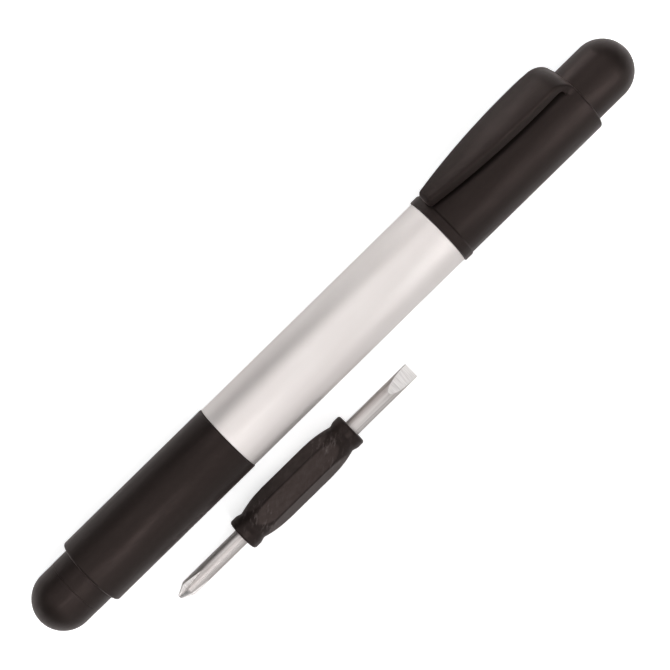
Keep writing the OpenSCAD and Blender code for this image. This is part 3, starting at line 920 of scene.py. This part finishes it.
def floor_paper():
    """White paper that takes shadows, and looks whiter to the camera the further out it lies."""
    material = bpy.data.materials.new("floor_paper")
    material.use_nodes = True
    tree = material.node_tree
    tree.nodes.clear()
    paper = tree.nodes.new("ShaderNodeBsdfDiffuse")
    paper.inputs["Color"].default_value = (PAPER, PAPER, PAPER, 1)
    lift = tree.nodes.new("ShaderNodeEmission")
    lift.inputs["Color"].default_value = (1, 1, 1, 1)
    path = tree.nodes.new("ShaderNodeLightPath")
    mirrored = tree.nodes.new("ShaderNodeMath")
    mirrored.operation = "MULTIPLY"
    mirrored.inputs[1].default_value = MIRRORED_LIFT
    coords = tree.nodes.new("ShaderNodeTexCoord")
    away = tree.nodes.new("ShaderNodeVectorMath")
    away.operation = "LENGTH"
    whiter = tree.nodes.new("ShaderNodeMapRange")
    for socket_name, value in zip(RANGE_SOCKETS, (*FLOOR_LIFT_REACH, FLOOR_LIFT, 1.0)):
        whiter.inputs[socket_name].default_value = value
    level = tree.nodes.new("ShaderNodeMath")
    level.operation = "MULTIPLY_ADD"
    total = tree.nodes.new("ShaderNodeAddShader")
    output = tree.nodes.new("ShaderNodeOutputMaterial")
    for source, target in (
        (path.outputs["Is Glossy Ray"], mirrored.inputs[0]),
        (coords.outputs["Object"], away.inputs[0]),
        (away.outputs["Value"], whiter.inputs["Value"]),
        (path.outputs["Is Camera Ray"], level.inputs[0]),
        (whiter.outputs["Result"], level.inputs[1]),
        (mirrored.outputs["Value"], level.inputs[2]),
        (level.outputs["Value"], lift.inputs["Strength"]),
        (paper.outputs["BSDF"], total.inputs[0]),
        (lift.outputs["Emission"], total.inputs[1]),
        (total.outputs["Shader"], output.inputs["Surface"]),
    ):
        tree.links.new(source, target)
    return material


def build_stage():
    """Pale floor under the object."""
    z = TABLE_Z * MM
    ends = (-FLOOR_REACH, FLOOR_REACH)
    mesh = bpy.data.meshes.new("floor")
    mesh.from_pydata([(x, y, z) for x in ends for y in ends], [], [(0, 2, 3, 1)])
    mesh.materials.append(floor_paper())
    floor = bpy.data.objects.new("floor", mesh)
    bpy.context.scene.collection.objects.link(floor)


def build_world():
    """Even studio surroundings, white where the camera sees them."""
    world = bpy.data.worlds.new("studio")
    bpy.context.scene.world = world
    world.use_nodes = True
    tree = world.node_tree
    tree.nodes.clear()
    path = tree.nodes.new("ShaderNodeLightPath")
    level = tree.nodes.new("ShaderNodeMapRange")
    level.inputs["To Min"].default_value = WORLD_LIGHT
    level.inputs["To Max"].default_value = 1.0
    background = tree.nodes.new("ShaderNodeBackground")
    background.inputs["Color"].default_value = (1, 1, 1, 1)
    output = tree.nodes.new("ShaderNodeOutputWorld")
    tree.links.new(path.outputs["Is Camera Ray"], level.inputs["Value"])
    tree.links.new(level.outputs["Result"], background.inputs["Strength"])
    tree.links.new(background.outputs["Background"], output.inputs["Surface"])


def soft_box(name, place_at, towards, size, watts, fan=180):
    """An area light of a size across and along the pen, in metres, that fans out over so many degrees."""
    light = bpy.data.lights.new(name, "AREA")
    light.shape = "RECTANGLE"
    light.size, light.size_y = size
    light.energy = watts
    light.spread = math.radians(fan)
    lamp = bpy.data.objects.new(name, light)
    lamp.location = place_at
    lamp.rotation_euler = (Vector(place_at) - Vector(towards)).to_track_quat("Z", "X").to_euler()
    bpy.context.scene.collection.objects.link(lamp)


def build_lights():
    """Long strips round the upper side of the pen, and narrow lights that are aimed at its two ends."""
    for lean, watts in STRIPS:
        turn = math.radians(lean)
        place_at = (0, LIGHT_AWAY * math.sin(turn), LIGHT_AWAY * math.cos(turn))
        soft_box(f"strip_{lean}", place_at, (0, 0, 0), STRIP_SIZE, watts)
    soft_box("clip_light", (0.19, 0.50, 0.09), (0.19, 0, 0), (0.12, 0.20), 0.058, 33)
    soft_box("clip_root_light", (0.11, 0.50, 0.07), (0.16, 0, 0), (0.12, 0.16), 0.018, 25)
    soft_box("front_cap_light", (-0.17, -0.17, 0.47), (-0.17, 0, 0), (0.20, 0.12), 0.085, 35)
    soft_box("rear_cap_light", (0.18, -0.30, 0.40), (0.18, 0, 0), (0.20, 0.12), 0.13, 34)


def build_camera():
    """Camera above the pen, leaning 5 degrees to its far side, with the pen rising to the right."""
    distance = 357.0
    orbit = math.radians(5.0)
    rise = math.radians(44.42)
    view_width = 122.5
    target = Vector((0.22, -0.3, 0.0))
    back = Vector((0, math.sin(orbit), math.cos(orbit)))
    across = back.cross(Vector((1, 0, 0)))
    right = Vector((math.cos(rise), 0, 0)) - across * math.sin(rise)
    up = Vector((math.sin(rise), 0, 0)) + across * math.cos(rise)
    turn = Matrix((right, up, back)).transposed()
    data = bpy.data.cameras.new("camera")
    data.sensor_width = 36.0
    data.lens = data.sensor_width * distance / view_width
    data.clip_start = 0.01
    data.clip_end = 50.0
    camera = bpy.data.objects.new("camera", data)
    camera.matrix_world = Matrix.Translation((target + back * distance) * MM) @ turn.to_4x4()
    bpy.context.scene.collection.objects.link(camera)
    bpy.context.scene.camera = camera


build()
build_stage()
build_world()
build_lights()
build_camera()
bpy.context.scene.view_settings.view_transform = "Standard"
